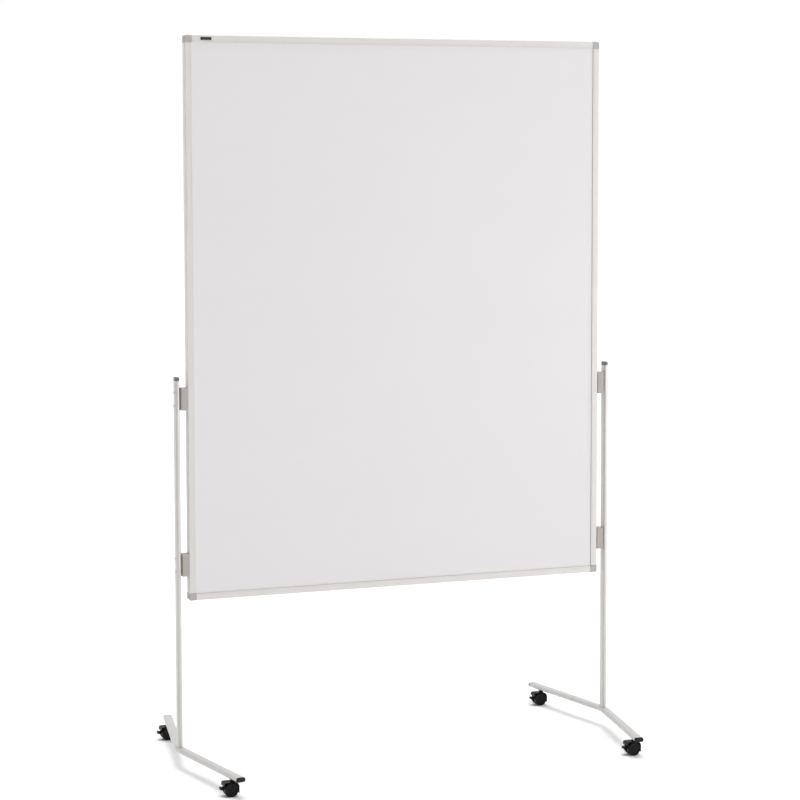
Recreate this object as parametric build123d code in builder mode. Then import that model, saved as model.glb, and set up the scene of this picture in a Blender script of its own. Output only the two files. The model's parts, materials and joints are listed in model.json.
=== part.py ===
"""Rolling whiteboard: a framed board clamped between two posts on castored V-shaped feet.

Millimetres. X runs along the board, the writing side faces -Y and +Z is up. The origin is on the
floor, under the middle of the board.
"""
from build123d import *
from math import hypot
import os

os.makedirs("parts", exist_ok=True)

# ---- Board ---------------------------------------------------------------------------------------
BOARD_WIDTH = 1200.0
BOARD_HEIGHT = 1500.0
BOARD_BOTTOM = 454.0
BOARD_TOP = BOARD_BOTTOM + BOARD_HEIGHT
BOARD_MIDDLE = (BOARD_BOTTOM + BOARD_TOP) / 2

FRAME_DEPTH = 25.0
FRAME_FACE = 18.0
FRAME_WALL = 1.6
FRAME_ROUND = 2.5
CHAMBER = 3.0
CHAMBER_WIDTH = 17.0
CHANNEL_START = 6.0
BEAD_WIDTH = 0.8
BEAD_DEPTH = 0.4
BEAD_INSET = 3.2

CORE_THICKNESS = 19.0
SHEET_THICKNESS = 0.5
PANEL_SIDE_GAP = 0.3
CHANNEL_WIDTH = CORE_THICKNESS + 0.1

CORNER_LEG = 20.0
CORNER_PROUD = 0.4
CORNER_ROUND = 5.0
CORNER_EDGE = 1.2
TONGUE_LENGTH = 25.0
TONGUE_GAP = 0.2

BADGE_LENGTH = 30.0
BADGE_HEIGHT = 8.0
BADGE_THICKNESS = 0.8
BADGE_ROUND = 1.5
BADGE_FROM_SIDE = 58.0

# ---- Tube shared by the posts and the feet -------------------------------------------------------
TUBE_WIDE = 25.0
TUBE_THIN = 12.5
TUBE_WALL = 1.5
TUBE_ROUND = 5.5
PLUG_GAP = 0.15

# ---- Posts ---------------------------------------------------------------------------------------
POST_X = 627.5
POST_CAP_HEIGHT = 10.0
POST_CAP_ROUND = 3.5
POST_TOP = 1054.0 - POST_CAP_HEIGHT
CAP_SKIRT = 14.0
SPIGOT_LENGTH = 40.0

# ---- Feet ----------------------------------------------------------------------------------------
FOOT_UNDERSIDE = 45.5
FOOT_MIDDLE = FOOT_UNDERSIDE + TUBE_THIN / 2
FOOT_TOP = FOOT_UNDERSIDE + TUBE_THIN
TIP_X = 564.0
TIP_Y = 359.0
FOOT_BEND = 120.0
# The straight arms would meet here, outside the post, so that their round bend passes under it.
FOOT_CORNER_X = POST_X + FOOT_BEND * (hypot(POST_X - TIP_X, TIP_Y) / TIP_Y - 1)
PLUG_HEAD = 5.0
PLUG_ROUND = 2.2
PLUG_SKIRT = 15.0
ARM_X = TIP_X - FOOT_CORNER_X
ARM_Y = TIP_Y
ARM_LENGTH = hypot(ARM_X, ARM_Y)

# ---- Clamps and fasteners ------------------------------------------------------------------------
CLAMP_HEIGHT = 60.0
CLAMP_DEPTH = 29.0
CLAMP_WIDTH = 18.5
CLAMP_CENTRES = {"lower": 550.5, "upper": 995.0}
CLAMP_EDGE = 0.8
CLAMP_ROUND = 1.5
CLAMP_NECK_HEIGHT = 52.0
CLAMP_NECK_DEPTH = TUBE_WIDE - 2 * TUBE_ROUND
SCREW_SPACING = 36.0
SCREW = 5.0
SCREW_HOLE = 5.2
SCREW_HEAD = 9.5
SCREW_HEAD_HEIGHT = 2.7
SCREW_HEAD_ROUND = 1.8
SOCKET = 3.0
SOCKET_DEPTH = 1.6
SCREW_TIP_IN_FRAME = 4.0
FOOT_BOLT = 6.0
FOOT_BOLT_HOLE = 6.2
FOOT_BOLT_REACH = 28.0
FOOT_ACCESS_HOLE = 13.0
BOLT_HEX = 10.0
BOLT_HEX_HEIGHT = 4.0
WASHER = 12.5
WASHER_THICKNESS = 1.2

# ---- Castors: every one trails towards -X --------------------------------------------------------
CASTOR_Y = 311.0
CASTOR_X = FOOT_CORNER_X + ARM_X * CASTOR_Y / ARM_Y
TRAIL = 6.6
WHEEL_RADIUS = 18.0
WHEEL_WIDTH = 10.5
TREAD_ROUND = 1.4
WHEEL_HUB = 5.0
WHEEL_RIM = 14.8
INNER_RECESS = 3.3
INNER_SHY = 0.4
OUTER_RECESS = 1.5
HUB_CAP_SHY = 0.5
WHEEL_POCKETS = 6
POCKET = 3.7
POCKET_DEPTH = 1.0
WEB = 7.6
WHEEL_GAP = 0.5
WHEEL_START = WEB / 2 + WHEEL_GAP
CASTOR_HALF_WIDTH = WHEEL_START + WHEEL_WIDTH
AXLE = 4.0
AXLE_HOLE = 4.04
WHEEL_BORE = 4.1
BORE_DEPTH = 8.7
AXLE_END_GAP = 0.4

HOOD_WALL = 1.5
HOOD_RADIUS = WHEEL_RADIUS + 0.9 + HOOD_WALL
HOOD_FRONT_CORNER = 12.0
HOOD_REAR_CORNER = 5.5
HOOD_SKIRT = 10.0
HOOD_REAR_SKIRT = 28.5
HOOD_EDGE = 0.5
HOOD_TOP = WHEEL_RADIUS + HOOD_RADIUS
BOSS = 13.0
BOSS_TOP = 40.6
WEB_INSET = 0.7

STEM_THREAD = 8.0
STEM_THREAD_TOP = FOOT_UNDERSIDE + 9.0
STEM_THREAD_HOLE = 8.2
STEM_FLANGE = 13.0
STEM_FLANGE_THICKNESS = 2.2
STEM_NECK = 9.0
STEM_NECK_BOTTOM = BOSS_TOP + 0.4
STEM_PIN = 5.0
STEM_BORE = 5.1
STEM_PIN_BOTTOM = 27.0
STEM_BORE_BOTTOM = 26.5
INSERT = 12.0
INSERT_HEIGHT = 6.0

LEVER_PIVOT_X = -17.1
LEVER_PIVOT_Z = 26.8
LEVER_THICKNESS = 2.8
LEVER_HUB = 3.2
LEVER_NECK_SHY = 0.6
LEVER_PIN = 2.8
LEVER_PIN_HOLE = 2.9
LEVER_PIN_REACH = 3.6
LEVER_SLOT = LEVER_THICKNESS + 0.6
LEVER_SLOT_X = LEVER_PIVOT_X + LEVER_HUB + 0.5
LEVER_SLOT_TOP = LEVER_PIVOT_Z + LEVER_HUB + 0.8
LEVER_SLOT_BOTTOM = 5.5
PEDAL_X = -31.2
PEDAL_Z = 22.1
PEDAL_LENGTH = 7.6
PEDAL_THICKNESS = 7.0
PEDAL_WIDTH = 14.0
PEDAL_ROUND = 2.0
PEDAL_EDGE = 0.6

SIDES = {"left": -1, "right": 1}
ENDS = {"front": -1, "back": 1}
LOW = (Align.MIN, Align.MIN)
LOW_CENTRE = (Align.MIN, Align.CENTER)


def save(piece, label):
    """Names a finished piece and writes it as one STEP file."""
    piece.part.label = label
    export_step(piece.part, f"parts/{label}.step")


def vertical_plane(x, y, z=0.0):
    """A plane facing -Y, whose own axes are X and Z."""
    return Plane(origin=(x, y, z), x_dir=(1, 0, 0), z_dir=(0, -1, 0))


def side_plane(side, x, z=0.0):
    """A plane facing outwards along X on one side of the board, whose own axes are Y and Z."""
    return Plane(origin=(side * x, 0, z), x_dir=(0, side, 0), z_dir=(side, 0, 0))


# ---- The board -----------------------------------------------------------------------------------


def make_board_core():
    with BuildPart() as core:
        with BuildSketch(vertical_plane(0, 0, BOARD_MIDDLE)):
            inset = 2 * (CHANNEL_START + PANEL_SIDE_GAP)
            Rectangle(BOARD_WIDTH - inset, BOARD_HEIGHT - inset)
        extrude(amount=CORE_THICKNESS / 2, both=True)
    save(core, "board_core")


def make_sheet(end, label):
    """A thin sheet bonded to one face of the core, inside the frame's lips."""
    face = end * (CORE_THICKNESS + SHEET_THICKNESS) / 2
    with BuildPart() as sheet:
        with BuildSketch(vertical_plane(0, face, BOARD_MIDDLE)):
            inset = 2 * (FRAME_FACE + PANEL_SIDE_GAP)
            Rectangle(BOARD_WIDTH - inset, BOARD_HEIGHT - inset)
        extrude(amount=SHEET_THICKNESS / 2, both=True)
    save(sheet, label)


def make_rail(start, inward, along, length, label, screw_side=0):
    """A hollow frame extrusion. Its section runs inwards from the board's edge."""
    section = Plane(origin=start, x_dir=inward, z_dir=along)
    with BuildPart() as rail:
        with BuildSketch(section):
            Rectangle(FRAME_FACE, FRAME_DEPTH, align=LOW_CENTRE)
            fillet(vertices().group_by(Axis.X)[0], FRAME_ROUND)
            with Locations((FRAME_WALL, 0)):
                Rectangle(CHAMBER, CHAMBER_WIDTH, align=LOW_CENTRE, mode=Mode.SUBTRACT)
            with Locations((CHANNEL_START, 0)):
                Rectangle(FRAME_FACE, CHANNEL_WIDTH, align=LOW_CENTRE, mode=Mode.SUBTRACT)
            bead = FRAME_FACE - BEAD_INSET
            with Locations((bead, FRAME_DEPTH / 2), (bead, -FRAME_DEPTH / 2)):
                Rectangle(BEAD_WIDTH, 2 * BEAD_DEPTH, mode=Mode.SUBTRACT)
        extrude(amount=length)
        if screw_side:
            cut_clamp_holes(screw_side, BOARD_WIDTH / 2 - FRAME_WALL, 2 * FRAME_WALL)
    save(rail, label)


def make_rails():
    half = BOARD_WIDTH / 2
    across = BOARD_WIDTH - 2 * CORNER_LEG
    upright = BOARD_HEIGHT - 2 * CORNER_LEG
    first = CORNER_LEG - half
    make_rail((first, 0, BOARD_TOP), (0, 0, -1), (1, 0, 0), across, "frame_top")
    make_rail((first, 0, BOARD_BOTTOM), (0, 0, 1), (1, 0, 0), across, "frame_bottom")
    for name, side in SIDES.items():
        start = (side * half, 0, BOARD_BOTTOM + CORNER_LEG)
        make_rail(start, (-side, 0, 0), (0, 0, 1), upright, f"frame_{name}", side)


def make_corner(side, rise, label):
    """A moulded corner: an L over both rails with a tongue into each rail's chamber."""
    outer = (side * BOARD_WIDTH / 2, 0, BOARD_MIDDLE + rise * BOARD_HEIGHT / 2)
    plane = Plane(origin=outer, x_dir=(-side, 0, 0), z_dir=(0, -side * rise, 0))
    tongue = CHAMBER - 2 * TONGUE_GAP
    tongue_middle = FRAME_WALL + CHAMBER / 2
    with BuildPart() as corner:
        with BuildSketch(plane):
            Rectangle(CORNER_LEG, FRAME_FACE, align=LOW)
            Rectangle(FRAME_FACE, CORNER_LEG, align=LOW)
            fillet(vertices().group_by(Axis.X)[0].sort_by(Axis.Y)[0], CORNER_ROUND)
        extrude(amount=FRAME_DEPTH / 2 + CORNER_PROUD, both=True)
        fillet(faces().filter_by(Axis.Y).edges(), CORNER_EDGE)
        with BuildSketch(plane):
            with Locations((CHANNEL_START, CHANNEL_START)):
                Rectangle(CORNER_LEG, CORNER_LEG, align=LOW)
        extrude(amount=CHANNEL_WIDTH / 2, both=True, mode=Mode.SUBTRACT)
        with BuildSketch(plane):
            with Locations((CORNER_LEG, tongue_middle)):
                Rectangle(TONGUE_LENGTH, tongue, align=LOW_CENTRE)
            with Locations((tongue_middle, CORNER_LEG)):
                Rectangle(tongue, TONGUE_LENGTH, align=(Align.CENTER, Align.MIN))
        extrude(amount=CHAMBER_WIDTH / 2 - TONGUE_GAP, both=True)
    save(corner, label)


def make_badge():
    """A small blank plate on the top rail, near the left corner."""
    x = BADGE_FROM_SIDE - BOARD_WIDTH / 2
    with BuildPart() as badge:
        with BuildSketch(vertical_plane(x, -FRAME_DEPTH / 2, BOARD_TOP - FRAME_FACE / 2)):
            RectangleRounded(BADGE_LENGTH, BADGE_HEIGHT, BADGE_ROUND)
        extrude(amount=BADGE_THICKNESS)
    save(badge, "badge_plate")


# ---- Posts and clamps ----------------------------------------------------------------------------


def post_plane(side, height):
    """A level plane on a post's centreline, whose X runs outwards from the board."""
    return Plane(origin=(side * POST_X, 0, height), x_dir=(side, 0, 0), z_dir=(0, 0, 1))


def tube_outline(inset=0.0, mode=Mode.ADD):
    """The flat-oval tube's outline, with its thin side along the plane's X."""
    RectangleRounded(TUBE_THIN - 2 * inset, TUBE_WIDE - 2 * inset, TUBE_ROUND - inset, mode=mode)


def cut_clamp_holes(side, start, reach):
    """Cuts the clamp screws' holes from the part in hand, from start outwards along X."""
    for centre in CLAMP_CENTRES.values():
        with BuildSketch(side_plane(side, start, centre)) as holes:
            with GridLocations(0, SCREW_SPACING, 1, 2):
                Circle(SCREW_HOLE / 2)
        extrude(holes.sketch, amount=reach, mode=Mode.SUBTRACT)


def make_post(side, label):
    with BuildPart() as post:
        with BuildSketch(post_plane(side, FOOT_TOP)):
            tube_outline()
            tube_outline(TUBE_WALL, Mode.SUBTRACT)
        extrude(amount=POST_TOP - FOOT_TOP)
        cut_clamp_holes(side, POST_X - TUBE_THIN, 2 * TUBE_THIN)
    save(post, label)


def make_post_cap(side, label):
    with BuildPart() as cap:
        with BuildSketch(post_plane(side, POST_TOP)):
            tube_outline()
        extrude(amount=POST_CAP_HEIGHT)
        fillet(faces().sort_by(Axis.Z)[-1].edges(), POST_CAP_ROUND)
        with BuildSketch(post_plane(side, POST_TOP)):
            tube_outline(TUBE_WALL + PLUG_GAP)
        extrude(amount=-CAP_SKIRT)
    save(cap, label)


def make_spigot(side, label):
    """The block inside the post's foot that the foot bolt screws into."""
    with BuildPart() as spigot:
        with BuildSketch(post_plane(side, FOOT_TOP)):
            tube_outline(TUBE_WALL + PLUG_GAP)
            Circle(FOOT_BOLT_HOLE / 2, mode=Mode.SUBTRACT)
        extrude(amount=SPIGOT_LENGTH)
    save(spigot, label)


def make_clamp(side, centre, label):
    """A block on the frame's side, with a narrower neck out to the flat of the post."""
    half_board = BOARD_WIDTH / 2
    post_face = POST_X - TUBE_THIN / 2
    base = Plane(
        origin=(side * half_board, 0, centre - CLAMP_HEIGHT / 2),
        x_dir=(side, 0, 0),
        z_dir=(0, 0, 1),
    )
    with BuildPart() as clamp:
        with BuildSketch(base):
            Rectangle(CLAMP_WIDTH, CLAMP_DEPTH, align=LOW_CENTRE)
            fillet(vertices(), CLAMP_ROUND)
        extrude(amount=CLAMP_HEIGHT)
        chamfer(faces().filter_by(Axis.Z).edges(), CLAMP_EDGE)
        with BuildSketch(side_plane(side, half_board + CLAMP_WIDTH, centre)):
            Rectangle(CLAMP_NECK_DEPTH, CLAMP_NECK_HEIGHT)
        extrude(amount=post_face - half_board - CLAMP_WIDTH)
        cut_clamp_holes(side, half_board, CLAMP_HEIGHT)
    save(clamp, label)


def make_clamp_screws(side, label):
    """Button-head screws from the post's outer face, through post and clamp, into the frame."""
    outer = POST_X + TUBE_THIN / 2
    tip = BOARD_WIDTH / 2 - SCREW_TIP_IN_FRAME - outer
    with BuildPart() as screws:
        for centre in CLAMP_CENTRES.values():
            for height in (centre - SCREW_SPACING / 2, centre + SCREW_SPACING / 2):
                start = (side * outer, 0, height)
                with BuildSketch(Plane(origin=start, x_dir=(side, 0, 0), z_dir=(0, -side, 0))):
                    with Locations((tip, 0)):
                        Rectangle(-tip, SCREW / 2, align=LOW)
                    Rectangle(SCREW_HEAD_HEIGHT, SCREW_HEAD / 2, align=LOW)
                    fillet(vertices().group_by(Axis.X)[-1].sort_by(Axis.Y)[-1], SCREW_HEAD_ROUND)
                revolve(axis=Axis(start, (1, 0, 0)))
                with BuildSketch(side_plane(side, outer + SCREW_HEAD_HEIGHT, height)):
                    RegularPolygon(SOCKET / 2, 6, major_radius=False)
                extrude(amount=-SOCKET_DEPTH, mode=Mode.SUBTRACT)
    save(screws, label)


# ---- Feet ----------------------------------------------------------------------------------------


def arm_plane(side, end, distance):
    """A section plane of one arm, at a distance from the foot's corner, facing the arm's tip."""
    share = distance / ARM_LENGTH
    middle = (side * (FOOT_CORNER_X + share * ARM_X), end * share * ARM_Y, FOOT_MIDDLE)
    return Plane(origin=middle, x_dir=(0, 0, 1), z_dir=(side * ARM_X, end * ARM_Y, 0))


def make_foot(side, label):
    """One tube bent in plan to a wide V, with its corner under the post."""
    tube_end = ARM_LENGTH - PLUG_HEAD
    front = arm_plane(side, -1, tube_end)
    back = arm_plane(side, 1, tube_end)
    corner = (side * FOOT_CORNER_X, 0, FOOT_MIDDLE)
    with BuildPart() as foot:
        with BuildLine():
            FilletPolyline(front.origin, corner, back.origin, radius=FOOT_BEND)
        with BuildSketch(Plane(origin=front.origin, x_dir=(0, 0, 1), z_dir=-front.z_dir)):
            tube_outline()
            tube_outline(TUBE_WALL, Mode.SUBTRACT)
        sweep()
        with BuildSketch(Plane.XY.offset(FOOT_UNDERSIDE)):
            for end in ENDS.values():
                with Locations((side * CASTOR_X, end * CASTOR_Y)):
                    Circle(STEM_THREAD_HOLE / 2)
        extrude(amount=TUBE_WALL, mode=Mode.SUBTRACT)
        for diameter, bottom in ((FOOT_ACCESS_HOLE, FOOT_UNDERSIDE), (FOOT_BOLT_HOLE, FOOT_MIDDLE)):
            with BuildSketch(Plane.XY.offset(bottom)):
                with Locations((side * POST_X, 0)):
                    Circle(diameter / 2)
            extrude(amount=TUBE_THIN / 2, mode=Mode.SUBTRACT)
    save(foot, label)


def make_foot_plug(side, end, label):
    """The domed plug in the end of one arm."""
    tip = arm_plane(side, end, ARM_LENGTH)
    mouth = arm_plane(side, end, ARM_LENGTH - PLUG_HEAD)
    with BuildPart() as plug:
        with BuildSketch(mouth):
            tube_outline()
        extrude(amount=PLUG_HEAD)
        face = faces().sort_by(Axis(tip.origin, tip.z_dir))[-1]
        fillet(face.edges(), PLUG_ROUND)
        with BuildSketch(mouth):
            tube_outline(TUBE_WALL + PLUG_GAP)
        extrude(amount=-PLUG_SKIRT)
    save(plug, label)


def make_foot_bolts():
    """Hexagon bolts, their heads inside the foot tubes, up into each post's spigot."""
    washer_bottom = FOOT_TOP - TUBE_WALL - WASHER_THICKNESS
    with BuildPart() as bolts:
        with BuildSketch(Plane.XY.offset(washer_bottom - BOLT_HEX_HEIGHT)):
            with Locations(*[(side * POST_X, 0) for side in SIDES.values()]):
                RegularPolygon(BOLT_HEX / 2, 6, major_radius=False)
        extrude(amount=BOLT_HEX_HEIGHT)
        chamfer(faces().group_by(Axis.Z)[0].edges(), CLAMP_EDGE)
        with BuildSketch(Plane.XY.offset(washer_bottom)):
            with Locations(*[(side * POST_X, 0) for side in SIDES.values()]):
                Circle(FOOT_BOLT / 2)
        extrude(amount=FOOT_TOP - washer_bottom + FOOT_BOLT_REACH)
    save(bolts, "foot_bolts")

    with BuildPart() as washers:
        with BuildSketch(Plane.XY.offset(washer_bottom)):
            with Locations(*[(side * POST_X, 0) for side in SIDES.values()]):
                Circle(WASHER / 2)
                Circle(FOOT_BOLT_HOLE / 2, mode=Mode.SUBTRACT)
        extrude(amount=WASHER_THICKNESS)
    save(washers, "foot_washers")


def make_stem_inserts():
    """Threaded inserts inside the arms, one over each castor."""
    with BuildPart() as inserts:
        with BuildSketch(Plane.XY.offset(FOOT_UNDERSIDE + TUBE_WALL)):
            for side in SIDES.values():
                for end in ENDS.values():
                    with Locations((side * CASTOR_X, end * CASTOR_Y)):
                        Circle(INSERT / 2)
                        Circle(STEM_THREAD_HOLE / 2, mode=Mode.SUBTRACT)
        extrude(amount=INSERT_HEIGHT)
    save(inserts, "castor_inserts")


# ---- Castors -------------------------------------------------------------------------------------


def make_stem(x, y, label):
    """The fixed stem: thread into the arm, hexagon flange, neck, and the pin the hood turns on."""
    flange_bottom = FOOT_UNDERSIDE - STEM_FLANGE_THICKNESS
    stages = (
        (STEM_PIN, STEM_PIN_BOTTOM, STEM_NECK_BOTTOM),
        (STEM_NECK, STEM_NECK_BOTTOM, flange_bottom),
        (STEM_THREAD, FOOT_UNDERSIDE, STEM_THREAD_TOP),
    )
    with BuildPart() as stem:
        for diameter, bottom, top in stages:
            with BuildSketch(Plane.XY.offset(bottom)):
                with Locations((x, y)):
                    Circle(diameter / 2)
            extrude(amount=top - bottom)
        with BuildSketch(Plane.XY.offset(flange_bottom)):
            with Locations((x, y)):
                RegularPolygon(STEM_FLANGE / 2, 6, major_radius=False)
        extrude(amount=STEM_FLANGE_THICKNESS)
    save(stem, label)


def hood_curve(inset):
    """The hood's side view, moved inwards: a squared rear above the pedal and a rounder front."""
    radius = HOOD_RADIUS - inset
    rear = -TRAIL - radius
    front = -TRAIL + radius
    top = WHEEL_RADIUS + radius
    rear_round = HOOD_REAR_CORNER - inset
    front_round = HOOD_FRONT_CORNER - inset
    Line((rear, HOOD_REAR_SKIRT), (rear, top - rear_round))
    CenterArc((rear + rear_round, top - rear_round), rear_round, 90, 90)
    Line((rear + rear_round, top), (front - front_round, top))
    CenterArc((front - front_round, top - front_round), front_round, 0, 90)
    Line((front, top - front_round), (front, HOOD_SKIRT))
    return (front, HOOD_SKIRT), (rear, HOOD_REAR_SKIRT)


def make_hood(x, y, label):
    """The castor's body: a cover over both wheels, the web between them, and the stem's boss."""
    side = vertical_plane(x, y)
    axle = (-TRAIL, WHEEL_RADIUS)
    with BuildPart() as hood:
        with BuildSketch(side):
            with BuildLine():
                outer_front, outer_rear = hood_curve(0)
                inner_front, inner_rear = hood_curve(HOOD_WALL)
                Line(outer_front, inner_front)
                Line(outer_rear, inner_rear)
            make_face()
        extrude(amount=CASTOR_HALF_WIDTH, both=True)
        fillet(faces().filter_by(Axis.Y).edges(), HOOD_EDGE)
        with BuildSketch(side):
            with BuildLine():
                front, rear = hood_curve(WEB_INSET)
                Polyline(front, (axle[0], HOOD_SKIRT), rear)
            make_face()
        extrude(amount=WEB / 2, both=True)
        with BuildSketch(Plane.XY.offset(HOOD_TOP - HOOD_WALL)):
            with Locations((x, y)):
                Circle(BOSS / 2)
        extrude(amount=BOSS_TOP - HOOD_TOP + HOOD_WALL)
        with BuildSketch(Plane.XY.offset(STEM_BORE_BOTTOM)):
            with Locations((x, y)):
                Circle(STEM_BORE / 2)
        extrude(amount=BOSS_TOP - STEM_BORE_BOTTOM, mode=Mode.SUBTRACT)
        with BuildSketch(side):
            with Locations(axle):
                Circle(AXLE_HOLE / 2)
            with Locations((LEVER_PIVOT_X, LEVER_PIVOT_Z)):
                Circle(LEVER_PIN_HOLE / 2)
        extrude(amount=WEB, both=True, mode=Mode.SUBTRACT)
        with BuildSketch(side):
            with Locations((LEVER_SLOT_X, LEVER_SLOT_BOTTOM)):
                Rectangle(
                    HOOD_RADIUS,
                    LEVER_SLOT_TOP - LEVER_SLOT_BOTTOM,
                    align=(Align.MAX, Align.MIN),
                )
        extrude(amount=LEVER_SLOT / 2, both=True, mode=Mode.SUBTRACT)
    save(hood, label)


def make_axle(x, y, label):
    reach = WHEEL_START + BORE_DEPTH - AXLE_END_GAP
    with BuildPart() as axle:
        with BuildSketch(vertical_plane(x - TRAIL, y, WHEEL_RADIUS)):
            Circle(AXLE / 2)
        extrude(amount=reach, both=True)
    save(axle, label)


def make_wheel(x, y, end, label):
    """One of a castor's two wheels, with a blind bore, a dished inner face and a pocketed outer."""
    axle_x = x - TRAIL
    inner = y + end * WHEEL_START
    half_section = Plane(origin=(axle_x, inner, WHEEL_RADIUS), x_dir=(1, 0, 0), z_dir=(0, 0, end))
    outline = (
        (0, BORE_DEPTH),
        (WHEEL_BORE / 2, BORE_DEPTH),
        (WHEEL_BORE / 2, 0),
        (WHEEL_HUB, 0),
        (WHEEL_HUB, INNER_RECESS),
        (WHEEL_RIM, INNER_RECESS),
        (WHEEL_RIM, INNER_SHY),
        (WHEEL_RADIUS, INNER_SHY),
        (WHEEL_RADIUS, WHEEL_WIDTH),
        (WHEEL_RIM, WHEEL_WIDTH),
        (WHEEL_RIM, WHEEL_WIDTH - OUTER_RECESS),
        (WHEEL_HUB, WHEEL_WIDTH - OUTER_RECESS),
        (WHEEL_HUB, WHEEL_WIDTH - HUB_CAP_SHY),
        (0, WHEEL_WIDTH - HUB_CAP_SHY),
    )
    with BuildPart() as wheel:
        with BuildSketch(half_section):
            with BuildLine():
                Polyline(*outline, close=True)
            make_face()
            fillet(vertices().group_by(Axis.X)[-1], TREAD_ROUND)
        revolve(axis=Axis((axle_x, y, WHEEL_RADIUS), (0, 1, 0)))
        recess = (axle_x, y + end * (WHEEL_START + WHEEL_WIDTH - OUTER_RECESS), WHEEL_RADIUS)
        with BuildSketch(Plane(origin=recess, x_dir=(1, 0, 0), z_dir=(0, end, 0))):
            with PolarLocations((WHEEL_HUB + WHEEL_RIM) / 2, WHEEL_POCKETS):
                Circle(POCKET / 2)
        extrude(amount=-POCKET_DEPTH, mode=Mode.SUBTRACT)
    save(wheel, label)


def make_brake_lever(x, y, label):
    """The foot brake: a hub on two stub pins, a neck between the wheels and a pedal behind."""
    side = vertical_plane(x, y)
    pivot = (LEVER_PIVOT_X, LEVER_PIVOT_Z)
    neck_end = PEDAL_X + PEDAL_LENGTH / 2 - PEDAL_ROUND
    neck_half = PEDAL_THICKNESS / 2 - PEDAL_EDGE / 2
    hub_half = LEVER_HUB - LEVER_NECK_SHY
    with BuildPart() as lever:
        with BuildSketch(side):
            with Locations((PEDAL_X, PEDAL_Z)):
                RectangleRounded(PEDAL_LENGTH, PEDAL_THICKNESS, PEDAL_ROUND)
        extrude(amount=PEDAL_WIDTH / 2, both=True)
        fillet(faces().filter_by(Axis.Y).edges(), PEDAL_EDGE)
        with BuildSketch(side):
            with Locations(pivot):
                Circle(LEVER_HUB)
            with BuildLine():
                Polyline(
                    (LEVER_PIVOT_X, LEVER_PIVOT_Z + hub_half),
                    (neck_end, PEDAL_Z + neck_half),
                    (neck_end, PEDAL_Z - neck_half),
                    (LEVER_PIVOT_X, LEVER_PIVOT_Z - hub_half),
                    close=True,
                )
            make_face()
        extrude(amount=LEVER_THICKNESS / 2, both=True)
        with BuildSketch(side):
            with Locations(pivot):
                Circle(LEVER_PIN / 2)
        extrude(amount=LEVER_PIN_REACH, both=True)
    save(lever, label)


# ---- Making everything ---------------------------------------------------------------------------

make_board_core()
make_sheet(-1, "front_sheet")
make_sheet(1, "back_sheet")
make_rails()
for rise_name, rise in {"bottom": -1, "top": 1}.items():
    for side_name, side in SIDES.items():
        make_corner(side, rise, f"corner_{rise_name}_{side_name}")
make_badge()

for side_name, side in SIDES.items():
    make_post(side, f"{side_name}_post")
    make_post_cap(side, f"{side_name}_post_cap")
    make_spigot(side, f"{side_name}_post_spigot")
    for level, centre in CLAMP_CENTRES.items():
        make_clamp(side, centre, f"{side_name}_{level}_clamp")
    make_clamp_screws(side, f"{side_name}_clamp_screws")
    make_foot(side, f"{side_name}_foot_tube")

make_foot_bolts()
make_stem_inserts()

for side_name, side in SIDES.items():
    for end_name, end in ENDS.items():
        where = f"{end_name}_{side_name}"
        castor = (side * CASTOR_X, end * CASTOR_Y)
        make_foot_plug(side, end, f"{where}_foot_plug")
        make_stem(*castor, f"{where}_castor_stem")
        make_hood(*castor, f"{where}_castor_hood")
        make_axle(*castor, f"{where}_castor_axle")
        make_wheel(*castor, -1, f"{where}_outer_wheel")
        make_wheel(*castor, 1, f"{where}_inner_wheel")
        make_brake_lever(*castor, f"{where}_brake_lever")
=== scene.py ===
import json
import math

import bpy
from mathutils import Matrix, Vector

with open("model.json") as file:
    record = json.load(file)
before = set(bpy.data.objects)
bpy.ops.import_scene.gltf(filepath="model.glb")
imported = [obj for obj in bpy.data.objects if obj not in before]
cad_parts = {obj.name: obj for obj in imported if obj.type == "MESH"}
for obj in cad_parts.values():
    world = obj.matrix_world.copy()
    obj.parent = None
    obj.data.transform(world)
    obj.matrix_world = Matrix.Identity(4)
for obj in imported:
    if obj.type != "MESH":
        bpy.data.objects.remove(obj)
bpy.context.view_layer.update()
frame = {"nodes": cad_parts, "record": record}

# Rolling whiteboard, in metres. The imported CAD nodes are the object; this script gives each one its
# surface, and makes the camera, the light and the floor.

NODES = frame["nodes"]

# Camera: its place in metres, its turn in degrees with the yaw towards +X and the pitch downwards,
# its lens and sensor in millimetres, and its shift in picture widths.
CAMERA_PLACE = (-2.2414, -5.9288, 1.6373)
CAMERA_YAW = 20.771
CAMERA_PITCH = 4.446
CAMERA_ROLL = 0.102
CAMERA_LENS = 104.37
CAMERA_SHIFT = -0.08
CAMERA_CLIP = (0.05, 200.0)
SENSOR_WIDTH = 36.0

# Light tent: its brightness, that of its opening and that of the backdrop the camera sees. The
# opening is at its darkest up to the core angle from its middle, and fades out by the edge angle.
TENT_STRENGTH = 0.86
OPENING_STRENGTH = 0.12
BACKDROP_STRENGTH = 1.02
OPENING_DIRECTION = (-0.74, -0.66, 0.10)
OPENING_CORE = 22.0
OPENING_EDGE = 76.0

KEY_PLACE = (4.2, -4.0, 1.0)
KEY_TARGET = (0.3, 0.0, 0.9)
KEY_SIZE = (2.8, 1.8)
KEY_WATTS = 66.0
KEY_COLOUR = (1.0, 0.995, 0.985)

OVERHEAD_STRENGTH = 2.0
OVERHEAD_SPREAD = 40.0

FLOOR_HALF = 60.0

# Edges of the CAD meshes that turn by more than this, in degrees, stay crisp.
CRISP_ANGLE = 32.0

# The Mix node's sockets in its colour mode, by number because its three modes share their names.
MIX_FIRST, MIX_SECOND, MIX_RESULT = 6, 7, 2

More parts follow.
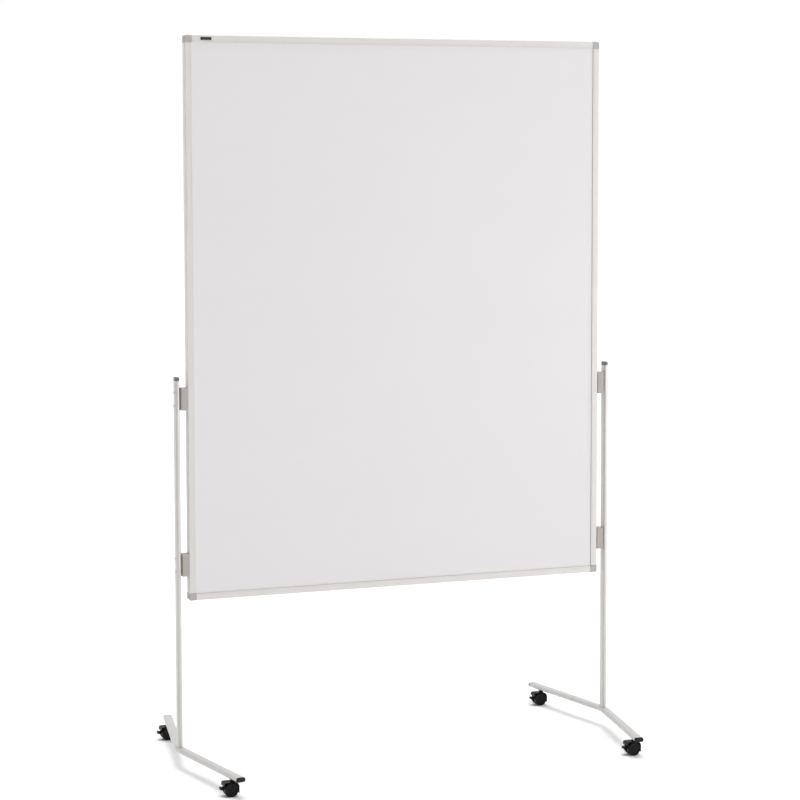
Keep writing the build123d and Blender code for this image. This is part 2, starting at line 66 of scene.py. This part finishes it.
# Moulded plastics by record slot: material name, colour, colour of the darker patches, roughness
# and specular level.
MOULDED = {
    "corner_plastic": ("corner_plastic", (0.43, 0.415, 0.405), (0.37, 0.36, 0.35), 0.45, 0.4),
    "badge_black": ("badge_enamel", (0.035, 0.035, 0.045), (0.02, 0.02, 0.03), 0.25, 0.4),
    "clamp_grey": ("clamp_plastic", (0.42, 0.385, 0.355), (0.37, 0.34, 0.315), 0.42, 0.4),
    "cap_plastic": ("cap_plastic", (0.16, 0.16, 0.158), (0.12, 0.12, 0.118), 0.32, 0.4),
    "plug_black": ("plug_plastic", (0.014, 0.014, 0.015), (0.008, 0.008, 0.009), 0.42, 0.22),
    "castor_black": ("castor_nylon", (0.006, 0.006, 0.0065), (0.003, 0.003, 0.0033), 0.36, 0.16),
    "wheel_black": ("wheel_nylon", (0.007, 0.007, 0.0075), (0.0035, 0.0035, 0.004), 0.42, 0.16),
}

# Plated steels by record slot: material name, colour and colour of the darker crystals.
PLATED = {
    "zinc_steel": ("zinc_plate", (0.72, 0.715, 0.70), (0.60, 0.595, 0.585)),
    "stem_black": ("black_zinc", (0.02, 0.02, 0.02), (0.012, 0.012, 0.012)),
}


# ---- Camera, light and floor ---------------------------------------------------------------------


def link_object(name, data):
    made = bpy.data.objects.new(name, data)
    bpy.context.scene.collection.objects.link(made)
    return made


def make_camera():
    data = bpy.data.cameras.new("camera")
    data.lens = CAMERA_LENS
    data.sensor_width = SENSOR_WIDTH
    data.shift_y = CAMERA_SHIFT
    data.clip_start, data.clip_end = CAMERA_CLIP
    camera = link_object("camera", data)
    camera.location = CAMERA_PLACE
    camera.rotation_mode = "XYZ"
    tilt = math.radians(90.0 - CAMERA_PITCH)
    camera.rotation_euler = (tilt, math.radians(CAMERA_ROLL), math.radians(-CAMERA_YAW))
    bpy.context.scene.camera = camera


def key_light():
    """A large soft light from the right, which brightens the board towards that side."""
    data = bpy.data.lights.new("key", "AREA")
    data.shape = "RECTANGLE"
    data.size, data.size_y = KEY_SIZE
    data.energy = KEY_WATTS
    data.color = KEY_COLOUR
    lamp = link_object("key", data)
    lamp.location = KEY_PLACE
    aim = Vector(KEY_TARGET) - Vector(KEY_PLACE)
    lamp.rotation_euler = aim.to_track_quat("-Z", "Y").to_euler()


def overhead_light():
    """A soft light straight down, which whitens the floor and upward faces and little else."""
    data = bpy.data.lights.new("overhead", "SUN")
    data.energy = OVERHEAD_STRENGTH
    data.angle = math.radians(OVERHEAD_SPREAD)
    link_object("overhead", data)


def make_world():
    """A white light tent with a darker opening on the photographer's side. The camera sees a
    backdrop of its own brightness instead of the tent."""
    world = bpy.data.worlds.new("studio")
    bpy.context.scene.world = world
    world.use_nodes = True
    nodes, links = world.node_tree.nodes, world.node_tree.links
    nodes.clear()
    output = nodes.new("ShaderNodeOutputWorld")
    mix = nodes.new("ShaderNodeMixShader")
    path = nodes.new("ShaderNodeLightPath")
    seen, lit = nodes.new("ShaderNodeBackground"), nodes.new("ShaderNodeBackground")
    for background in (seen, lit):
        background.inputs["Color"].default_value = (1.0, 1.0, 1.0, 1.0)
    seen.inputs["Strength"].default_value = BACKDROP_STRENGTH
    direction = nodes.new("ShaderNodeTexCoord")
    towards = nodes.new("ShaderNodeVectorMath")
    towards.operation = "DOT_PRODUCT"
    towards.inputs[1].default_value = Vector(OPENING_DIRECTION).normalized()
    brightness = nodes.new("ShaderNodeMapRange")
    brightness.interpolation_type = "SMOOTHSTEP"
    brightness.inputs["From Min"].default_value = math.cos(math.radians(OPENING_EDGE))
    brightness.inputs["From Max"].default_value = math.cos(math.radians(OPENING_CORE))
    brightness.inputs["To Min"].default_value = TENT_STRENGTH
    brightness.inputs["To Max"].default_value = OPENING_STRENGTH
    links.new(direction.outputs["Generated"], towards.inputs[0])
    links.new(towards.outputs["Value"], brightness.inputs["Value"])
    links.new(brightness.outputs["Result"], lit.inputs["Strength"])
    links.new(path.outputs["Is Camera Ray"], mix.inputs["Fac"])
    links.new(lit.outputs["Background"], mix.inputs[1])
    links.new(seen.outputs["Background"], mix.inputs[2])
    links.new(mix.outputs["Shader"], output.inputs["Surface"])


def make_floor():
    mesh = bpy.data.meshes.new("floor")
    half = FLOOR_HALF
    corners = [(-half, -half, 0.0), (half, -half, 0.0), (half, half, 0.0), (-half, half, 0.0)]
    mesh.from_pydata(corners, [], [(0, 1, 2, 3)])
    floor = link_object("floor", mesh)
    surface = Surface("pale_floor", (0.93, 0.93, 0.93), roughness=0.7)
    patches = surface.noise(scale=1.5, detail=3)
    surface.drive_roughness(patches, low=0.62, high=0.78)
    mesh.materials.append(surface.material)


# ---- Materials -----------------------------------------------------------------------------------


class Surface:
    """A Principled material, with short calls for the few kinds of node that this object needs."""

    def __init__(self, name, colour, roughness, metallic=0.0, specular=0.5):
        self.material = bpy.data.materials.new(name)
        self.material.use_nodes = True
        self.nodes = self.material.node_tree.nodes
        self.links = self.material.node_tree.links
        self.shader = self.nodes["Principled BSDF"]
        self.shader.inputs["Base Color"].default_value = (*colour, 1.0)
        self.shader.inputs["Roughness"].default_value = roughness
        self.shader.inputs["Metallic"].default_value = metallic
        self.shader.inputs["Specular IOR Level"].default_value = specular
        self.place = self.nodes.new("ShaderNodeTexCoord").outputs["Object"]

    def noise(self, scale, detail, stretch=(1.0, 1.0, 1.0), distortion=0.0):
        """Noise with about that many features to the metre. A small stretch draws it out."""
        mapping = self.nodes.new("ShaderNodeMapping")
        mapping.inputs["Scale"].default_value = stretch
        texture = self.nodes.new("ShaderNodeTexNoise")
        texture.inputs["Scale"].default_value = scale
        texture.inputs["Detail"].default_value = detail
        texture.inputs["Distortion"].default_value = distortion
        self.links.new(self.place, mapping.inputs["Vector"])
        self.links.new(mapping.outputs["Vector"], texture.inputs["Vector"])
        return texture.outputs["Fac"]

    def between(self, value, low, high):
        """Maps the middle half of a noise's range, 0.25 to 0.75, to low..high."""
        node = self.nodes.new("ShaderNodeMapRange")
        node.inputs["From Min"].default_value = 0.25
        node.inputs["From Max"].default_value = 0.75
        node.inputs["To Min"].default_value = low
        node.inputs["To Max"].default_value = high
        self.links.new(value, node.inputs["Value"])
        return node.outputs["Result"]

    def drive_roughness(self, value, low, high):
        self.links.new(self.between(value, low, high), self.shader.inputs["Roughness"])

    def tint(self, value, towards, amount):
        """Mixes the base colour towards another where the value is high."""
        mix = self.nodes.new("ShaderNodeMix")
        mix.data_type = "RGBA"
        socket = self.shader.inputs["Base Color"]
        mix.inputs[MIX_FIRST].default_value = socket.default_value
        mix.inputs[MIX_SECOND].default_value = (*towards, 1.0)
        self.links.new(self.between(value, 0.0, amount), mix.inputs["Factor"])
        self.links.new(mix.outputs[MIX_RESULT], socket)

    def bump(self, value, height, strength):
        """Raises the surface by up to height metres where the value is high."""
        node = self.nodes.new("ShaderNodeBump")
        node.inputs["Distance"].default_value = height
        node.inputs["Strength"].default_value = strength
        self.links.new(value, node.inputs["Height"])
        socket = self.shader.inputs["Normal"]
        if socket.is_linked:
            self.links.new(socket.links[0].from_socket, node.inputs["Normal"])
        self.links.new(node.outputs["Normal"], socket)


def lacquered_steel():
    """Satin lacquer: faint wiping marks, a fine speckle and a slow waviness."""
    surface = Surface("writing_lacquer", (0.722, 0.705, 0.716), roughness=0.42)
    wiping = surface.noise(scale=3.0, detail=4, stretch=(0.5, 1.0, 1.6), distortion=0.6)
    speckle = surface.noise(scale=420.0, detail=1)
    waviness = surface.noise(scale=7.0, detail=2)
    surface.drive_roughness(wiping, low=0.38, high=0.50)
    surface.tint(wiping, towards=(0.694, 0.683, 0.698), amount=0.35)
    surface.bump(speckle, height=0.00002, strength=0.35)
    surface.bump(waviness, height=0.0004, strength=0.10)
    return surface.material


def anodised(name, stretch):
    """Satin aluminium with a fine grain drawn out along the rail."""
    surface = Surface(name, (0.675, 0.65, 0.63), roughness=0.44, metallic=0.1)
    grain = surface.noise(scale=900.0, detail=3, stretch=stretch)
    haze = surface.noise(scale=14.0, detail=3)
    surface.drive_roughness(grain, low=0.36, high=0.52)
    surface.tint(haze, towards=(0.635, 0.61, 0.592), amount=0.5)
    surface.bump(grain, height=0.00003, strength=0.4)
    return surface.material


def powder_coat():
    """Silver-grey powder coat, with orange peel and a slight haze."""
    surface = Surface("stand_powder_coat", (0.58, 0.565, 0.55), roughness=0.36, metallic=0.45)
    peel = surface.noise(scale=1400.0, detail=2)
    haze = surface.noise(scale=9.0, detail=3)
    surface.drive_roughness(haze, low=0.32, high=0.42)
    surface.tint(haze, towards=(0.54, 0.525, 0.51), amount=0.5)
    surface.bump(peel, height=0.00004, strength=0.45)
    return surface.material


def moulded(name, colour, darker, roughness, specular):
    """Moulded plastic: an eroded grain, uneven gloss and slightly darker patches."""
    surface = Surface(name, colour, roughness=roughness, specular=specular)
    grain = surface.noise(scale=2600.0, detail=2)
    patches = surface.noise(scale=60.0, detail=3)
    surface.drive_roughness(patches, low=roughness - 0.07, high=roughness + 0.09)
    surface.tint(patches, towards=darker, amount=0.6)
    surface.bump(grain, height=0.00004, strength=0.5)
    return surface.material


def zinc(name, colour, darker):
    """Plated steel, with fine crystals that catch the light unevenly."""
    surface = Surface(name, colour, roughness=0.35, metallic=0.9)
    crystals = surface.noise(scale=700.0, detail=3)
    surface.drive_roughness(crystals, low=0.28, high=0.45)
    surface.tint(crystals, towards=darker, amount=0.6)
    surface.bump(crystals, height=0.00002, strength=0.4)
    return surface.material


def paper_core():
    """Raw board, with fibres that lie along its width."""
    surface = Surface("paper_core", (0.52, 0.41, 0.28), roughness=0.85)
    fibres = surface.noise(scale=500.0, detail=4, stretch=(0.2, 1.0, 1.0))
    surface.tint(fibres, towards=(0.40, 0.31, 0.21), amount=0.7)
    surface.drive_roughness(fibres, low=0.78, high=0.92)
    surface.bump(fibres, height=0.0001, strength=0.5)
    return surface.material


def dress_nodes():
    """Gives every CAD node its surface, by the slot it has in the record. The rails go by node,
    because their grain runs along them."""
    by_slot = {
        "writing_surface": lacquered_steel(),
        "core_board": paper_core(),
        "stand_paint": powder_coat(),
    }
    for slot, look in MOULDED.items():
        by_slot[slot] = moulded(*look)
    for slot, look in PLATED.items():
        by_slot[slot] = zinc(*look)
    across = anodised("frame_across", stretch=(0.02, 1.0, 1.0))
    upright = anodised("frame_upright", stretch=(1.0, 1.0, 0.02))
    by_node = {
        "frame_top": across,
        "frame_bottom": across,
        "frame_left": upright,
        "frame_right": upright,
    }
    for part in frame["record"]["subparts"]:
        name = part["node"]
        materials = NODES[name].data.materials
        materials.clear()
        materials.append(by_node.get(name) or by_slot[part["material_slot"]])


def smooth_nodes():
    """Rounded CAD faces shade as curves, and real edges stay crisp."""
    for node in NODES.values():
        node.data.polygons.foreach_set("use_smooth", [True] * len(node.data.polygons))
        node.data.set_sharp_from_angle(angle=math.radians(CRISP_ANGLE))


# ---- Making everything ---------------------------------------------------------------------------

bpy.context.scene.view_settings.view_transform = "Standard"
make_camera()
make_world()
key_light()
overhead_light()
make_floor()

dress_nodes()
smooth_nodes()
